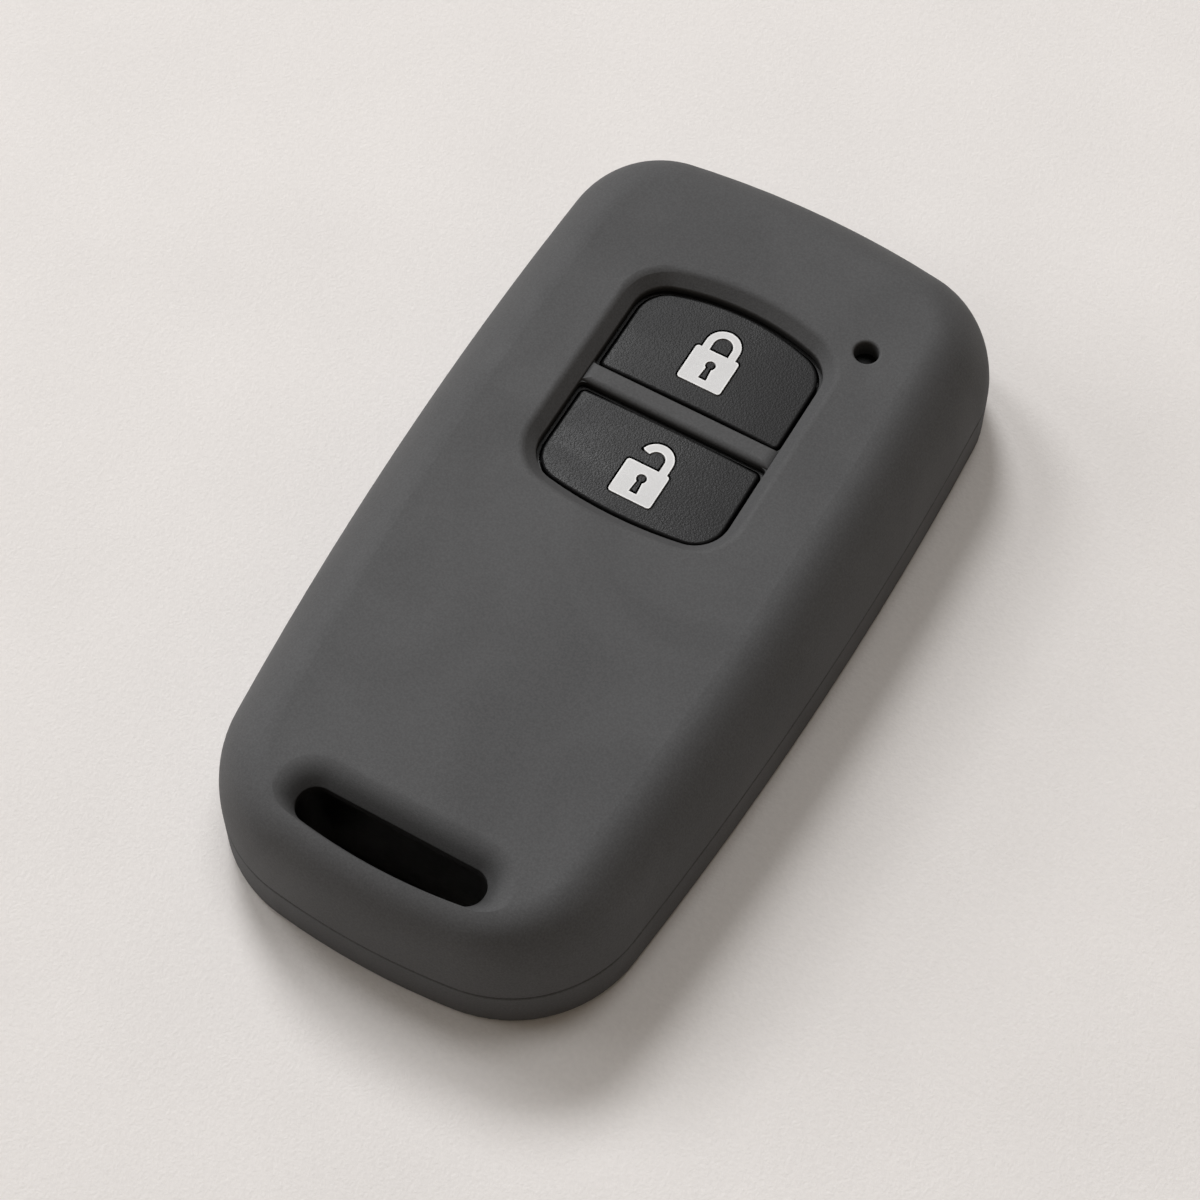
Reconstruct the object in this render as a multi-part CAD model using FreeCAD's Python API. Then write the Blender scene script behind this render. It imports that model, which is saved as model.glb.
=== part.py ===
import FreeCAD, Part
import math
import os

# A two-part moulded cover closed round a two-button remote key fob, with the fob inside.
# Millimetres. X runs across, +Y towards the buttons' end, +Z up from the flat underside, which is at zero.

V = FreeCAD.Vector

# Cover outline, seen from above at the parting seam
cover_length = 76.0
slot_end_width = 36.7
button_end_width = 39.9
slot_end_corner_radius = 11.7
button_end_corner_radius = 9.3
side_bow_radius = 358.0
slot_end_bow_radius = 63.0
button_end_bow_radius = 80.0

# Cover heights, walls and edges
cover_height = 13.45
seam_height = 4.65
seam_gap = 0.12
cover_wall = 1.8
edge_roll_width = 5.6
slot_end_full_share = 0.34
base_edge_radius = 0.5
seam_edge_radius = 0.22
lip_height = 1.0
lip_thickness = 0.8
lip_clearance = 0.1
fit_clearance = 0.2

# Button window in the front cover, with a bar across it
window_width = 17.4
window_length = 22.7
window_setback = 14.2
window_corner_radius = 3.2
window_low_bow_radius = 36.0
window_high_bow_radius = 22.0
window_lip_width = 1.1
window_lip_crest_radius = 0.8
window_lip_edge_radius = 0.2
bar_distance = 11.7
bar_width = 1.9
bar_recess = 1.05
bar_lock_edge_radius = 0.25
bar_unlock_edge_radius = 0.55
bar_end_run = 0.8
bar_end_dip = 0.25
bar_root = 0.2
bar_web_radius = 0.5
bar_web_height = 0.4

# Lamp hole
lamp_x = 10.65
lamp_setback = 13.6
lamp_hole_radius = 1.05
lamp_rim_radius = 0.25

# Strap slot, through both covers and the fob
slot_setback = 5.275
slot_length = 16.6
slot_width = 3.75
slot_corner_share = 0.85
slot_bow_radius = 48.0
slot_flare_radius = 3.0
slot_flare_rim_share = 0.55
slot_flare_near_share = 0.25
slot_flare_far_corner_share = 0.8
slot_flare_overlap = 0.03
slot_back_radius = 0.6
slot_step = 0.2
slot_sleeve_wall = 0.8

# Fob housings
fob_wall = 1.2
fob_base_edge_radius = 1.0
seal_thickness = 0.8
seal_clearance = 0.05
seal_height = 1.4
post_radius = 1.1
post_inset = 3.4
post_slot_distance = 7.6
cradle_wall = 0.8
cradle_height = 1.6
cradle_clearance = 0.2

# Buttons
button_recess = 1.45
button_gap = 0.42
button_guide_clearance = 0.2
button_inner_corner_radius = 0.45
button_crown_radius = 120.0
button_edge_radius = 0.25
button_flange_width = 0.6
button_flange_thickness = 0.6
button_flange_clearance = 0.1
button_travel = 0.3
button_nub_radius = 1.3
press_play = 0.1

# Switches on the board, one under each button
switch_length = 4.4
switch_width = 3.6
switch_height = 1.0
switch_corner_radius = 0.4
plunger_radius = 0.9
plunger_stand = 0.4
plunger_clearance = 0.05

# Circuit board and its parts
board_thickness = 0.8
board_clearance = 0.8
chip_size = 6.0
chip_height = 0.9
chip_edge = 0.15
chip_place_share = 0.275
crystal_length = 3.2
crystal_width = 2.5
crystal_height = 0.7
crystal_spacing = 3.0
core_length = 13.0
core_width = 5.0
core_height = 2.2
core_flange = 1.6
core_waist_width = 2.6
core_waist_height = 1.0
core_place_share = 0.635
winding_clearance = 0.05
lamp_length = 1.6
lamp_width = 0.9
lamp_height = 0.6
pipe_radius = 0.8
pipe_clearance = 0.05
pipe_flange_radius = 1.5
pipe_flange_thickness = 0.5
pipe_lamp_gap = 0.2

# Coin cell and its contacts
cell_diameter = 20.0
cell_height = 3.2
cell_rim_width = 1.2
cell_cap_height = 0.45
cell_edge_radius = 0.3
cell_distance = 20.4
contact_space = 0.6
contact_thickness = 0.2
contact_width = 4.0
contact_length = 7.0
contact_foot_share = 0.4
contact_reach_share = 0.8
cell_contact_clearance = 0.05
contact_wall_gap = 1.9

# Shared making values
cut_overrun = 1.0
flare_shares = (1.0, 0.78, 0.56, 0.34, 0.1)
roll_shares = (0.0, 0.14, 0.28, 0.42, 0.56, 0.7, 0.85, 1.0)
match_tolerance = 0.001

# Derived levels, from the underside up
fob_inset = cover_wall + fit_clearance
room_inset = fob_inset + fob_wall
fob_top = cover_height - fob_inset
room_top = cover_height - room_inset
board_low = room_inset + cell_height + contact_space
board_high = board_low + board_thickness
switch_top = board_high + switch_height
plunger_top = switch_top + plunger_stand
button_top = cover_height - button_recess
flange_top = room_top - button_flange_clearance
flange_low = flange_top - button_flange_thickness

# Derived places along the cover, from its two ends inwards
window_high_y = cover_length / 2 - window_setback
window_low_y = window_high_y - window_length
bar_y = window_high_y - bar_distance
bar_low_y = bar_y - bar_width / 2
bar_high_y = bar_y + bar_width / 2
lamp_y = cover_length / 2 - lamp_setback
slot_y = slot_setback - cover_length / 2
cell_y = slot_y + cell_distance
board_room = window_low_y - slot_y
chip_y = window_low_y - chip_place_share * board_room
core_y = window_low_y - core_place_share * board_room


def edge_corner_y(apex, outward, bow, reach, radius):
    """Y of a rounded corner's centre, where an end arc of radius bow (0: straight) crests at apex."""
    if not bow:
        return apex - outward * radius
    return apex - outward * (bow - math.sqrt((bow - radius) ** 2 - (reach - radius) ** 2))


def bow_normals(first, second, first_radius, second_radius, bow):
    """Outward normals at both corners of the stretch between them, and its centre if it is an arc."""
    along = second - first
    span = along.Length
    along = along / span
    right = V(along.y, -along.x, 0)
    if not bow:
        lean = (first_radius - second_radius) / span
        normal = along * lean + right * math.sqrt(1 - lean ** 2)
        return normal, normal, None
    first_reach = bow - first_radius
    second_reach = bow - second_radius
    foot = (span ** 2 + first_reach ** 2 - second_reach ** 2) / (2 * span)
    centre = first + along * foot - right * math.sqrt(first_reach ** 2 - foot ** 2)
    return (first - centre).normalize(), (second - centre).normalize(), centre


def arc_edge(centre, radius, first, second):
    """Arc about centre between two outward normals."""
    middle = (first + second).normalize()
    return Part.Arc(centre + first * radius, centre + middle * radius, centre + second * radius).toShape()


def tangent_loop(corners, bows, inset, z):
    """Closed wire round (x, y, radius) corners, counter-clockwise, moved inwards by inset, at height z.

    Each bow is the radius of the arc that leaves a corner, or 0 where that stretch is straight.
    """
    centres = [V(x, y, z) for x, y, radius in corners]
    radii = [radius for x, y, radius in corners]
    sides = []
    for i, bow in enumerate(bows):
        j = (i + 1) % len(corners)
        sides.append(bow_normals(centres[i], centres[j], radii[i], radii[j], bow))
    edges = []
    for i, bow in enumerate(bows):
        j = (i + 1) % len(corners)
        leaving, arriving, centre = sides[i]
        if bow:
            edges.append(arc_edge(centre, bow - inset, leaving, arriving))
        else:
            start = centres[i] + leaving * (radii[i] - inset)
            end = centres[j] + arriving * (radii[j] - inset)
            edges.append(Part.LineSegment(start, end).toShape())
        edges.append(arc_edge(centres[j], radii[j] - inset, arriving, sides[j][0]))
    return Part.Wire(edges)


def cover_loop(inset, z, stretch=0):
    """The cover's outline, moved inwards by inset, and by stretch less at the slot's end."""
    slot_reach = slot_end_width / 2
    button_reach = button_end_width / 2
    end = -cover_length / 2 - stretch
    low = edge_corner_y(end, -1, slot_end_bow_radius, slot_reach, slot_end_corner_radius)
    high = edge_corner_y(cover_length / 2, 1, button_end_bow_radius, button_reach, button_end_corner_radius)
    slot_x = slot_reach - slot_end_corner_radius
    button_x = button_reach - button_end_corner_radius
    corners = (
        (-slot_x, low, slot_end_corner_radius),
        (slot_x, low, slot_end_corner_radius),
        (button_x, high, button_end_corner_radius),
        (-button_x, high, button_end_corner_radius),
    )
    bows = (slot_end_bow_radius, side_bow_radius, button_end_bow_radius, side_bow_radius)
    return tangent_loop(corners, bows, inset, z)


def arched_loop(reach, low, high, low_radius, high_radius, low_bow, high_bow, inset, z):
    """A straight-sided outline of half-width reach, whose ends may be arched."""
    low_y = edge_corner_y(low, -1, low_bow, reach, low_radius)
    high_y = edge_corner_y(high, 1, high_bow, reach, high_radius)
    corners = (
        (low_radius - reach, low_y, low_radius),
        (reach - low_radius, low_y, low_radius),
        (reach - high_radius, high_y, high_radius),
        (high_radius - reach, high_y, high_radius),
    )
    return tangent_loop(corners, (low_bow, 0, high_bow, 0), inset, z)


def window_loop(inset, z):
    """The button window's outline."""
    return arched_loop(window_width / 2, window_low_y, window_high_y, window_corner_radius,
                       window_corner_radius, window_low_bow_radius, window_high_bow_radius, inset, z)


def lock_loop(inset, z):
    """The window's part above the bar, which the lock button fills."""
    inner_radius = button_inner_corner_radius + button_gap
    return arched_loop(window_width / 2, bar_high_y, window_high_y, inner_radius,
                       window_corner_radius, 0, window_high_bow_radius, inset, z)


def unlock_loop(inset, z):
    """The window's part below the bar, which the unlock button fills."""
    inner_radius = button_inner_corner_radius + button_gap
    return arched_loop(window_width / 2, window_low_y, bar_low_y, window_corner_radius,
                       inner_radius, window_low_bow_radius, 0, inset, z)


def slot_loop(inset, z):
    """The strap slot's outline, straight above and slightly arched below."""
    radius = slot_corner_share * slot_width / 2
    low = slot_y - slot_width / 2
    return arched_loop(slot_length / 2, low, low + slot_width, radius, radius, slot_bow_radius, 0, inset, z)


def prism(wire, height):
    """Upright solid over a flat wire."""
    return Part.Face(wire).extrude(V(0, 0, height))


def post(x, y, radius, low, high):
    """Upright cylinder between two levels."""
    return Part.makeCylinder(radius, high - low, V(x, y, low))


def block(x, y, low, length, width, height):
    """Box centred on x and y, standing on low."""
    return Part.makeBox(length, width, height, V(x - length / 2, y - width / 2, low))


def edges_at(shape, z):
    """The shape's edges that lie flat at height z."""
    def flat(edge):
        box = edge.BoundBox
        return abs(box.ZMin - z) < match_tolerance and abs(box.ZMax - z) < match_tolerance
    return [edge for edge in shape.Edges if flat(edge)]


def within(edges, reach, middle_x, middle_y):
    """Those edges whose middle lies inside a square of half-width reach about a point."""
    def near(edge):
        centre = edge.BoundBox.Center
        return abs(centre.x - middle_x) < reach and abs(centre.y - middle_y) < reach
    return [edge for edge in edges if near(edge)]


def moulded_form(inset, low):
    """The front's form at a depth of inset: upright from low to the seam, then rolled over to a flat top."""
    roll = edge_roll_width - inset
    rise = cover_height - inset - seam_height
    sections = []
    for share in roll_shares:
        angle = share * math.pi / 2
        level = seam_height + rise * math.sin(angle)
        stretch = slot_end_full_share * roll * math.sin(angle) ** 2
        sections.append(cover_loop(inset + roll * (1 - math.cos(angle)), level, stretch))
    dome = Part.makeLoft(sections, True, False)
    if low == seam_height:
        return dome
    return dome.fuse(prism(cover_loop(inset, low), seam_height - low))


def window_bar():
    """Bar across the window: rounded along both edges, with ends that dip to the window's sides."""
    top = cover_height - bar_recess
    base = cover_height - cover_wall
    reach = window_width / 2 + bar_root
    bar = block(0, bar_y, base, 2 * reach, bar_width, top - base)
    for y, radius in ((bar_high_y, bar_lock_edge_radius), (bar_low_y, bar_unlock_edge_radius)):
        bar = bar.makeFillet(radius, [edge for edge in edges_at(bar, top) if is_along(edge, y)])
    webs = []
    for side in (-1, 1):
        webs.append(bar_web(side, bar_high_y, 1))
        webs.append(bar_web(side, bar_low_y, -1))
    return bar.common(bar_profile(reach, base, top)).fuse(webs)


def is_along(edge, y):
    """Whether a whole edge lies at y."""
    return max(abs(edge.BoundBox.YMin - y), abs(edge.BoundBox.YMax - y)) < match_tolerance


def bar_profile(reach, base, top):
    """The bar's side view as a solid: a level top that dips in an arc at each end."""
    bend = (bar_end_run ** 2 + bar_end_dip ** 2) / (2 * bar_end_dip)
    run = bar_end_run + bar_root

    def at(x):
        past = max(0, abs(x) - reach + run)
        return V(x, bar_low_y, top - bend + math.sqrt(bend ** 2 - past ** 2))

    corners = [at(reach), V(reach, bar_low_y, base), V(-reach, bar_low_y, base), at(-reach)]
    edges = [Part.LineSegment(first, second).toShape() for first, second in zip(corners, corners[1:])]
    edges.append(Part.Arc(at(-reach), at(run / 2 - reach), at(run - reach)).toShape())
    edges.append(Part.LineSegment(at(run - reach), at(reach - run)).toShape())
    edges.append(Part.Arc(at(reach - run), at(reach - run / 2), at(reach)).toShape())
    return Part.Face(Part.Wire(edges)).extrude(V(0, bar_width, 0))


def bar_web(side, y, outward):
    """Web that rounds the corner between the bar's edge at y and the window's side."""
    base = cover_height - cover_wall
    span = bar_web_radius + bar_root
    middle_x = side * (window_width / 2 + bar_root - span / 2)
    depth = 2 * bar_web_radius
    web = block(middle_x, y, base, span, depth, bar_web_height)
    hollow_x = side * (window_width / 2 - bar_web_radius)
    return web.cut(post(hollow_x, y + outward * bar_web_radius, bar_web_radius, base, base + bar_web_height))


def window_lip(shell):
    """Slopes the window's rim inwards, with a soft crest and an eased inner edge."""
    lip_low = cover_height - window_lip_width
    shell = shell.makeChamfer(window_lip_width, window_edges(shell, cover_height, 0))
    shell = shell.makeFillet(window_lip_crest_radius, window_edges(shell, cover_height, window_lip_width))
    return shell.makeFillet(window_lip_edge_radius, window_edges(shell, lip_low, 0))


def window_edges(shell, z, grow):
    """Edges at height z on the window's outline, grown outwards by grow."""
    reach_x = window_width / 2 + grow + match_tolerance
    reach_y = window_length / 2 + grow + match_tolerance
    middle_y = (window_low_y + window_high_y) / 2

    def inside(edge):
        centre = edge.BoundBox.Center
        return abs(centre.x) < reach_x and abs(centre.y - middle_y) < reach_y
    return [edge for edge in edges_at(shell, z) if inside(edge)]


def front_cover():
    """Upper half of the cover: rolled shell, window with its bar, lamp hole and strap slot."""
    low = seam_height + seam_gap
    below = prism(cover_loop(-cut_overrun, seam_height - cut_overrun), low - seam_height + cut_overrun)
    shell = moulded_form(0, seam_height).cut(below)
    shell = shell.makeFillet(seam_edge_radius, edges_at(shell, low))
    shell = slot_mouth(shell).cut(moulded_form(cover_wall, seam_height - cut_overrun))
    rebate_inset = cover_wall - lip_thickness - lip_clearance
    rebate_top = seam_height + lip_height + lip_clearance
    shell = shell.cut(prism(cover_loop(rebate_inset, seam_height), rebate_top - seam_height))
    inner_top = cover_height - cover_wall
    shell = shell.cut(prism(window_loop(0, inner_top - cut_overrun), cover_wall + 2 * cut_overrun))
    lamp_hole = post(lamp_x, lamp_y, lamp_hole_radius, inner_top - cut_overrun, cover_height + cut_overrun)
    shell = window_lip(shell).cut(lamp_hole)
    lamp_edges = within(edges_at(shell, cover_height), lamp_hole_radius, lamp_x, lamp_y)
    shell = shell.makeFillet(lamp_rim_radius, lamp_edges)
    return shell.fuse(window_bar())


def slot_mouth(form):
    """Cuts the strap slot through the solid form and flares its mouth."""
    return form.cut(prism(slot_loop(0, seam_height), cover_height)).cut(slot_flare())


def slot_flare():
    """Cutter that rounds the slot's mouth, from a firm rim inside out to the flat top."""
    turn = slot_flare_rim_share * math.pi / 2
    sections = []
    for share in flare_shares:
        tilt = share * turn
        grow = slot_flare_radius * (math.sin(turn) - math.sin(tilt)) - slot_flare_overlap
        drop = slot_flare_radius * (1 - math.cos(tilt))
        sections.append(flare_loop(grow, cover_height - drop))
    brim = flare_loop(grow + 2 * drop / math.tan(tilt), cover_height + drop)
    mouth = Part.makeLoft(sections, True, False)
    return mouth.fuse(Part.makeLoft([sections[-1], brim], True, True))


def flare_loop(grow, z):
    """The slot's outline, grown at the far side and both ends, and little at the near side."""
    radius = slot_corner_share * slot_width / 2
    near_grow = slot_flare_near_share * grow
    low = slot_y - slot_width / 2 - near_grow
    high = slot_y + slot_width / 2 + grow
    reach = slot_length / 2 + grow
    far_radius = radius + slot_flare_far_corner_share * grow
    return arched_loop(reach, low, high, radius + near_grow, far_radius, slot_bow_radius, 0, 0, z)


def slot_edges(edges):
    """Those edges that lie within the strap slot's outline."""
    def inside(edge):
        box = edge.BoundBox
        far = max(abs(box.YMin - slot_y), abs(box.YMax - slot_y))
        wide = max(abs(box.XMin), abs(box.XMax))
        return wide < slot_length / 2 + match_tolerance and far < slot_width / 2 + match_tolerance
    return [edge for edge in edges if inside(edge)]


def rear_cover():
    """Lower half of the cover: a tray with a lip that stands inside the front, and the strap slot."""
    tray = prism(cover_loop(0, 0), seam_height)
    tray = tray.makeFillet(base_edge_radius, edges_at(tray, 0))
    tray = tray.makeFillet(seam_edge_radius, edges_at(tray, seam_height))
    lip = prism(cover_loop(cover_wall - lip_thickness, cover_wall), seam_height + lip_height - cover_wall)
    room = prism(cover_loop(cover_wall, cover_wall), seam_height + lip_height)
    tray = tray.fuse(lip).cut(room)
    tray = tray.cut(prism(slot_loop(0, 0), cover_wall))
    return tray.makeFillet(slot_back_radius, slot_edges(edges_at(tray, 0)))


def board_posts():
    """Places of the board's posts: beside the cell, near the strap slot and beyond the buttons."""
    beside_cell = cell_diameter / 2 + post_inset
    far_y = window_high_y + post_inset
    near_y = slot_y + post_slot_distance
    places = []
    for side in (-1, 1):
        places.append((side * beside_cell, cell_y + cell_diameter / 2))
        places.append((side * window_width / 2, near_y))
        places.append((side * (window_width / 2 - post_inset), far_y))
    return places


def slot_sleeve(low, high):
    """Solid round the strap slot that keeps the fob's inside closed."""
    return prism(slot_loop(-slot_step - slot_sleeve_wall, low), high - low)


def fob_lower_housing():
    """Fob's tray: cradle for the cell, posts for the board, ledge for the seal and the slot's sleeve."""
    tray = prism(cover_loop(fob_inset, fob_inset), seam_height - fob_inset)
    tray = tray.makeFillet(fob_base_edge_radius, edges_at(tray, fob_inset))
    outer = tray.copy()
    ledge = seam_height - seal_height / 2
    tray = tray.cut(prism(cover_loop(room_inset, ledge), seal_height))
    tray = tray.cut(prism(cover_loop(room_inset + seal_thickness, room_inset), seam_height))
    extras = [slot_sleeve(room_inset, seam_height).common(outer)]
    cradle_radius = cell_diameter / 2 + cradle_clearance
    cradle = post(0, cell_y, cradle_radius + cradle_wall, room_inset, room_inset + cradle_height)
    cradle = cradle.cut(post(0, cell_y, cradle_radius, room_inset, room_inset + cradle_height))
    gate = block(0, cell_y, room_inset, cell_diameter * 2, contact_length, cradle_height)
    extras.append(cradle.cut(gate))
    for x, y in board_posts():
        extras.append(post(x, y, post_radius, room_inset, board_low))
    tray = tray.fuse(extras)
    return tray.cut(prism(slot_loop(-slot_step, 0), cover_height))


def fob_upper_housing():
    """Fob's lid: rolled shell with button and light pipe openings, and pillars down to the board."""
    outer = moulded_form(fob_inset, seam_height)
    shell = outer.cut(moulded_form(room_inset, seam_height - cut_overrun))
    extras = [slot_sleeve(seam_height, fob_top).common(outer)]
    for x, y in board_posts():
        extras.append(post(x, y, post_radius, board_high, room_top + fob_wall / 2))
    shell = shell.fuse(extras)
    opening_inset = button_gap - button_guide_clearance
    for loop in (lock_loop, unlock_loop):
        shell = shell.cut(prism(loop(opening_inset, room_top - cut_overrun), fob_wall + 2 * cut_overrun))
    shell = shell.cut(post(lamp_x, lamp_y, pipe_radius + pipe_clearance, room_top, fob_top + cut_overrun))
    return shell.cut(prism(slot_loop(-slot_step, 0), cover_height))


def housing_seal():
    """Flat rubber ring on the lower housing's ledge, behind the joint of the two housings."""
    low = seam_height - seal_height / 2
    inset = room_inset + seal_clearance
    ring = prism(cover_loop(inset, low), seal_height)
    ring = ring.cut(prism(cover_loop(room_inset + seal_thickness, low), seal_height))
    sleeve = prism(slot_loop(-slot_step - slot_sleeve_wall - seal_clearance, low), seal_height)
    return ring.cut(sleeve).common(moulded_form(inset, low - cut_overrun))


def switch_places():
    """Centres of the two switches, under the middle of their buttons."""
    lock_y = (bar_high_y + window_high_y) / 2
    unlock_y = (bar_low_y + window_low_y) / 2
    return {"lock": lock_y, "unlock": unlock_y}


def crown():
    """Solid under the buttons' slightly crowned tops, as wide as the window."""
    half = window_width / 2
    sides_top = button_top - button_crown_radius + math.sqrt(button_crown_radius ** 2 - half ** 2)

    def at(x, z):
        return V(x, window_low_y, z)

    corners = [at(-half, sides_top), at(-half, flange_low), at(half, flange_low), at(half, sides_top)]
    edges = [Part.LineSegment(first, second).toShape() for first, second in zip(corners, corners[1:])]
    edges.append(Part.Arc(corners[-1], at(0, button_top), corners[0]).toShape())
    return Part.Face(Part.Wire(edges)).extrude(V(0, window_length, 0))


def button(loop, switch_y):
    """Push button: crowned cap, a flange that holds it under the housing, and a nub over its switch."""
    cap = prism(loop(button_gap, flange_low), button_top - flange_low).common(crown())
    cap = cap.makeFillet(button_edge_radius, [edge for edge in cap.Edges if edge.BoundBox.ZMin > flange_top])
    flange = prism(loop(button_gap - button_flange_width, flange_low), button_flange_thickness)
    nub = post(0, switch_y, button_nub_radius, plunger_top + press_play, flange_top)
    return cap.fuse([flange, nub])


def switch_body(y):
    """Surface-mounted push switch without its plunger."""
    body = block(0, y, board_high, switch_length, switch_width, switch_height)
    upright = [edge for edge in body.Edges if edge.BoundBox.ZLength > match_tolerance]
    body = body.makeFillet(switch_corner_radius, upright)
    bore_radius = plunger_radius + plunger_clearance
    return body.cut(post(0, y, bore_radius, plunger_floor(), switch_top + cut_overrun))


def plunger_floor():
    """Bottom of the plunger's bore in its switch."""
    return switch_top - 2 * button_travel - press_play


def switch_plunger(y):
    """Round plunger, clear of its bore's floor by its travel."""
    low = plunger_floor() + button_travel + press_play
    return post(0, y, plunger_radius, low, plunger_top)


def circuit_board():
    """Board that follows the housing and ends at the strap slot's sleeve."""
    board = prism(cover_loop(room_inset + board_clearance, board_low), board_thickness)
    sleeve_high = slot_y + slot_width / 2 + slot_step + slot_sleeve_wall
    end_y = sleeve_high + board_clearance - cover_length / 2
    end = block(0, end_y, board_low, cover_length, cover_length, board_thickness)
    return board.cut(end)


def coin_cell():
    """Coin cell: can below, narrower cap above."""
    can_height = cell_height - cell_cap_height
    cap_radius = cell_diameter / 2 - cell_rim_width
    can = post(0, cell_y, cell_diameter / 2, room_inset, room_inset + can_height)
    rims = edges_at(can, room_inset) + edges_at(can, room_inset + can_height)
    can = can.makeFillet(cell_edge_radius, rims)
    return can.fuse(post(0, cell_y, cap_radius, room_inset + can_height / 2, room_inset + cell_height))


def strip(points, width):
    """Flat strip of width across X, from its outline in Y and Z."""
    corners = [V(-width / 2, y, z) for y, z in points]
    return Part.Face(Part.makePolygon(corners + corners[:1])).extrude(V(width, 0, 0))


def negative_contact():
    """Leaf under the board that bends down to the cell's cap."""
    foot = cell_y - contact_length * contact_foot_share
    bend = cell_y
    tip = cell_y + contact_length * contact_reach_share
    cap = room_inset + cell_height
    points = (
        (foot, board_low),
        (bend, board_low),
        (tip, cap + contact_thickness),
        (tip, cap),
        (tip - contact_thickness, cap),
        (bend, board_low - contact_thickness),
        (foot, board_low - contact_thickness),
    )
    return strip(points, contact_width)


def positive_contact():
    """Clip under the board that reaches down beside the cell's can."""
    side = cell_diameter / 2 + cell_contact_clearance
    low = room_inset + cradle_height / 2
    near_y = cell_y - contact_width / 2
    leaf = Part.makeBox(contact_thickness, contact_width, board_low - low, V(side, near_y, low))
    foot_corner = V(side, near_y, board_low - contact_thickness)
    mean_reach = (slot_end_width + button_end_width) / 4
    foot_length = mean_reach - room_inset - contact_wall_gap - side
    foot = Part.makeBox(foot_length, contact_width, contact_thickness, foot_corner)
    return leaf.fuse(foot)


def chip(x, y, length, width, height):
    """Small moulded component on the board, with its top edges broken."""
    body = block(x, y, board_high, length, width, height)
    return body.makeChamfer(chip_edge, edges_at(body, board_high + height))


def crystal():
    """Metal-canned crystal beside the controller."""
    return chip(chip_size / 2 + crystal_spacing + crystal_length / 2, chip_y, crystal_length, crystal_width,
                crystal_height)


def core_waist_low():
    """Underside of the antenna core's waist."""
    return board_high + (core_height - core_waist_height) / 2


def antenna_core():
    """Ferrite core: two end flanges joined by a waist."""
    waist = block(0, core_y, core_waist_low(), core_length, core_waist_width, core_waist_height)
    offset = (core_length - core_flange) / 2
    low_end = block(-offset, core_y, board_high, core_flange, core_width, core_height)
    high_end = block(offset, core_y, board_high, core_flange, core_width, core_height)
    return waist.fuse([low_end, high_end])


def antenna_winding():
    """Wound copper between the core's flanges, as one solid."""
    length = core_length - 2 * core_flange - 2 * winding_clearance
    gap = 2 * winding_clearance
    margin = (core_height - core_waist_height) / 4
    coil = block(0, core_y, core_waist_low() - margin, length, core_waist_width + 4 * margin,
                 core_waist_height + 2 * margin)
    bore = block(0, core_y, core_waist_low() - winding_clearance, core_length, core_waist_width + gap,
                 core_waist_height + gap)
    return coil.cut(bore)


def indicator_lamp():
    """Small lamp on the board under the light pipe."""
    return chip(lamp_x, lamp_y, lamp_length, lamp_width, lamp_height)


def light_pipe():
    """Clear rod from the lamp up to the housing's face, with a flange under the housing."""
    low = board_high + lamp_height + pipe_lamp_gap
    rod = post(lamp_x, lamp_y, pipe_radius, low, fob_top)
    flange = post(lamp_x, lamp_y, pipe_flange_radius, room_top - pipe_flange_thickness, room_top)
    return rod.fuse(flange)


def build():
    """Every piece of the object by name."""
    places = switch_places()
    return {
        "front_cover": front_cover(),
        "rear_cover": rear_cover(),
        "fob_upper_housing": fob_upper_housing(),
        "fob_lower_housing": fob_lower_housing(),
        "housing_seal": housing_seal(),
        "lock_button": button(lock_loop, places["lock"]),
        "unlock_button": button(unlock_loop, places["unlock"]),
        "lock_switch_body": switch_body(places["lock"]),
        "unlock_switch_body": switch_body(places["unlock"]),
        "lock_switch_plunger": switch_plunger(places["lock"]),
        "unlock_switch_plunger": switch_plunger(places["unlock"]),
        "circuit_board": circuit_board(),
        "coin_cell": coin_cell(),
        "positive_contact": positive_contact(),
        "negative_contact": negative_contact(),
        "controller_chip": chip(0, chip_y, chip_size, chip_size, chip_height),
        "crystal": crystal(),
        "antenna_core": antenna_core(),
        "antenna_winding": antenna_winding(),
        "indicator_lamp": indicator_lamp(),
        "light_pipe": light_pipe(),
    }


os.makedirs("parts", exist_ok=True)
for name, shape in build().items():
    solids = shape.removeSplitter().Solids
    piece = solids[0] if len(solids) == 1 else Part.makeCompound(solids)
    print(f"{name}: {len(solids)} solid, valid {piece.isValid()}, {piece.Volume:.2f} mm3")
    piece.exportStep(f"parts/{name}.step")
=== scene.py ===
import logging
import math
from dataclasses import dataclass
from enum import Enum
from typing import Any, Callable

import bmesh
import bpy
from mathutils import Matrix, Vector


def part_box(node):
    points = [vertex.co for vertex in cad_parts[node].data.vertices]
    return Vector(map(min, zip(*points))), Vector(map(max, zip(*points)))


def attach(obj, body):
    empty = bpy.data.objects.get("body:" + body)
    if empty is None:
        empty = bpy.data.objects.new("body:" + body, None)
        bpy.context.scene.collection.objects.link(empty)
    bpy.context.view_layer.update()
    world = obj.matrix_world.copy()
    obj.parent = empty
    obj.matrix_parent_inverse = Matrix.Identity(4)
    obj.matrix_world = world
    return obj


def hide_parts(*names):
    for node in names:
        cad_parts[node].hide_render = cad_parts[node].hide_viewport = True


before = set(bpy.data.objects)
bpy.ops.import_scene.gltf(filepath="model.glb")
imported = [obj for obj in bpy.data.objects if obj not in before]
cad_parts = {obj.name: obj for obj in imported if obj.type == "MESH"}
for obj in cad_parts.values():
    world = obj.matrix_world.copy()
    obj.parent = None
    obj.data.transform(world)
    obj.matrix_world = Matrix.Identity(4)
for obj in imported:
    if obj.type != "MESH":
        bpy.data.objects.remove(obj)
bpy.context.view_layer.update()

MM = 0.001
MERGE_DISTANCE = 0.002 * MM
FACING_COSINE = 0.99
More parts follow.
